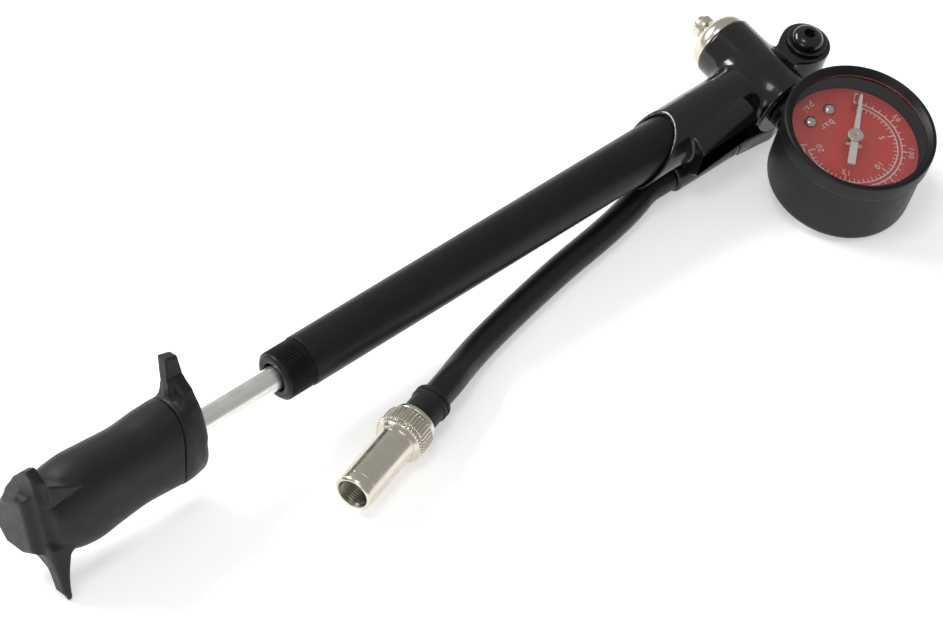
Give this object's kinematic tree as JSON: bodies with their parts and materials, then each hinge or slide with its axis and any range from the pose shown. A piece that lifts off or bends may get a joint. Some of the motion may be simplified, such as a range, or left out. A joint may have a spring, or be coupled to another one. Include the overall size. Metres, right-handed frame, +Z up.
{
  "type": "hand air pump",
  "caption": "Hand-operated high-pressure pump with a slim barrel, a swivelling hose with a threaded chuck, a side pressure gauge and a push-button bleed valve.",
  "frame": {"origin": "centre of the bounding box's bottom, on the table that the pump lies on, measured without the hose and chuck", "axes": "+X along the barrel from the handle to the head, +Z up from the table; the gauge's face leans 12 degrees from +Z towards -Y"},
  "size_m": [0.2972, 0.0884, 0.0446],
  "materials": {
    "black_anodised": "satin black anodising",
    "gloss_black": "polished black moulding",
    "black_plastic": "fine matte moulded black",
    "nickel": "warm polished nickel plate",
    "aluminium": "bright satin, drawn lengthways",
    "steel": "plain bright",
    "brass": "turned",
    "rubber": "matte",
    "hose_rubber": "smooth satin",
    "red_dial": "satin printed red",
    "white_paint": "satin white",
    "lens": "clear polished"
  },
  "bodies": {
    "pump": {"barrel": "black_anodised", "barrel_cap": "black_anodised", "rod_bushing": "black_plastic", "rod_wiper": "rubber", "pump_head": "gloss_black", "check_valve_seat": "brass", "check_spring": "steel", "bleed_valve_body": "nickel", "bleed_spring": "steel", "gauge_stem": "gloss_black", "gauge_seal": "rubber", "gauge_case": "gloss_black", "gauge_bezel": "black_anodised", "gauge_lens": "lens", "gauge_dial": "red_dial", "dial_screw_1": "steel", "dial_screw_2": "steel", "zero_stop": "brass", "bourdon_tube": "brass", "movement_plate": "brass"},
    "piston": {"piston_head": "aluminium", "piston_seal": "rubber", "piston_bumper": "rubber"},
    "plunger": {"piston_rod": "aluminium", "handle_grip": "black_plastic", "handle_collar": "black_plastic", "handle_pin": "steel"},
    "bleed_button": {"bleed_button": "nickel", "bleed_seal": "rubber"},
    "check_ball": {"check_ball": "steel"},
    "needle": {"needle": "white_paint", "needle_spindle": "brass"},
    "sector": {"sector_gear": "brass"},
    "hose_arm": {"swivel_arm": "gloss_black", "swivel_screw": "gloss_black", "swivel_washer": "black_anodised", "hose_sleeve": "gloss_black", "hose": "hose_rubber", "hose_boot": "rubber", "chuck_core": "nickel", "depressor_pin": "brass"},
    "chuck_nut": {"chuck_nut": "nickel", "chuck_seal": "rubber"}
  },
  "joints": [
    {"name": "piston_stroke", "type": "slide", "parent": "pump", "child": "piston", "axis": [1, 0, 0], "range_m": [-0.104, 0.0255]},
    {"name": "plunger_turn", "type": "hinge", "parent": "piston", "child": "plunger", "pos_m": [-0.0544, 0.01726, 0.01951], "axis": [1, 0, 0], "continuous": true},
    {"name": "bleed_press", "type": "slide", "parent": "pump", "child": "bleed_button", "axis": [0, -0.9781, -0.2079], "range_m": [0, 0.0014], "stiffness_N_per_m": 400, "deforming": ["bleed_spring"]},
    {"name": "check_ball_lift", "type": "slide", "parent": "pump", "child": "check_ball", "axis": [1, 0, 0], "range_m": [0, 0.001], "stiffness_N_per_m": 60, "deforming": ["check_spring"]},
    {"name": "needle_turn", "type": "hinge", "parent": "pump", "child": "needle", "pos_m": [0.1221, -0.02143, 0.026], "axis": [0, -0.2079, 0.9781], "range_deg": [-252, 0]},
    {"name": "sector_turn", "type": "hinge", "parent": "pump", "child": "sector", "pos_m": [0.1173, -0.01967, 0.01769], "axis": [0, -0.2079, 0.9781], "range_deg": [0, 42]},
    {"name": "hose_swivel", "type": "hinge", "parent": "pump", "child": "hose_arm", "pos_m": [0.1411, 0.01775, 0.01961], "axis": [0, -0.2079, 0.9781], "range_deg": [0, 80]},
    {"name": "chuck_turn", "type": "hinge", "parent": "hose_arm", "child": "chuck_nut", "pos_m": [-0.043, -0.01284, 0.00769], "axis": [-0.9597, -0.2811, 0], "continuous": true}
  ],
  "couplings": [
    {"joint": "needle_turn", "follows": "sector_turn", "ratio": -6}
  ]
}
